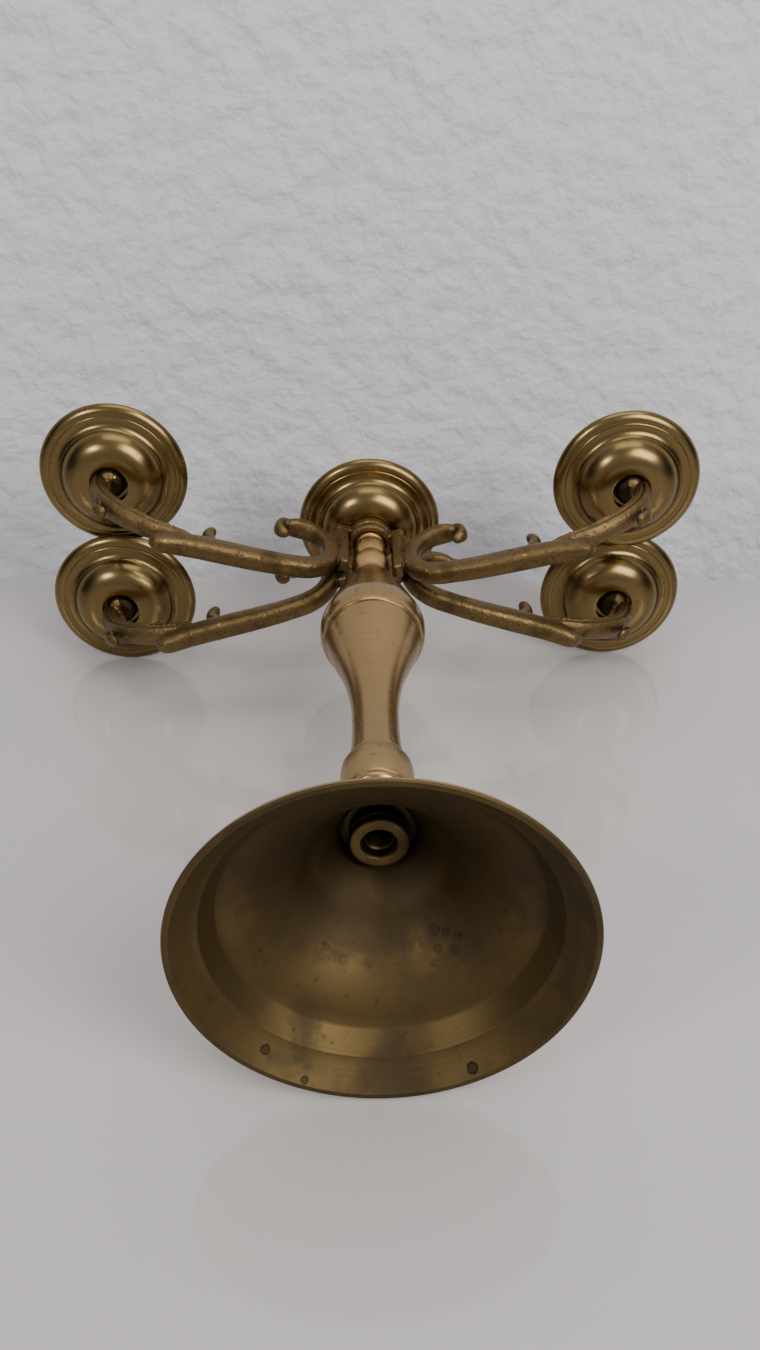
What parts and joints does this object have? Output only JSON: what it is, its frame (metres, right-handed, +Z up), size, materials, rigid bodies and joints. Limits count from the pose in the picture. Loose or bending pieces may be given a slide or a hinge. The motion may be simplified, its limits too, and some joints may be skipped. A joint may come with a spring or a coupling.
{
  "type": "five-light tabletop candelabra",
  "caption": "Brass candelabra: bell foot, vase stem and beads carrying crossing double scroll arms and a centre light, each with a drip pan and candle cup.",
  "frame": {"origin": "centre of the ring that the foot stands on", "axes": "+Z up the stem, +X to the right arms, -Y to the front"},
  "size_m": [0.2746, 0.1174, 0.2817],
  "materials": {
    "foot_brass": "aged spun brass, matt and tarnished inside",
    "stem_brass": "turned brass, worn satin",
    "bead_brass": "turned brass, polished in the grooves",
    "cast_brass": "cast and filed brass with dark patina",
    "pan_brass": "spun brass, polished with tarnish",
    "cup_brass": "turned brass, satin with tarnish",
    "dull_steel": "dull zinc-plated steel"
  },
  "bodies": {
    "stand": {"foot": "foot_brass", "foot_washer": "dull_steel", "foot_nut": "foot_brass", "tie_tube": "stem_brass", "knop": "stem_brass", "shaft": "stem_brass", "bulb": "stem_brass", "bead_spindle": "bead_brass", "lower_shim": "bead_brass", "upper_shim": "bead_brass", "drip_pan_centre": "pan_brass", "candle_cup_centre": "cup_brass"},
    "lower_arms": {"lower_double_arm": "cast_brass", "drip_pan_front_right": "pan_brass", "candle_cup_front_right": "cup_brass", "cup_stud_front_right": "dull_steel", "drip_pan_back_left": "pan_brass", "candle_cup_back_left": "cup_brass", "cup_stud_back_left": "dull_steel"},
    "upper_arms": {"upper_double_arm": "cast_brass", "drip_pan_back_right": "pan_brass", "candle_cup_back_right": "cup_brass", "cup_stud_back_right": "dull_steel", "drip_pan_front_left": "pan_brass", "candle_cup_front_left": "cup_brass", "cup_stud_front_left": "dull_steel"}
  },
  "joints": [
    {"name": "lower_arms_swivel", "type": "hinge", "parent": "stand", "child": "lower_arms", "pos_m": [0, 0, 0.238], "axis": [0, 0, 1], "continuous": true},
    {"name": "upper_arms_swivel", "type": "hinge", "parent": "lower_arms", "child": "upper_arms", "pos_m": [0, 0, 0.2428], "axis": [0, 0, 1], "range_deg": [0, 121]}
  ]
}
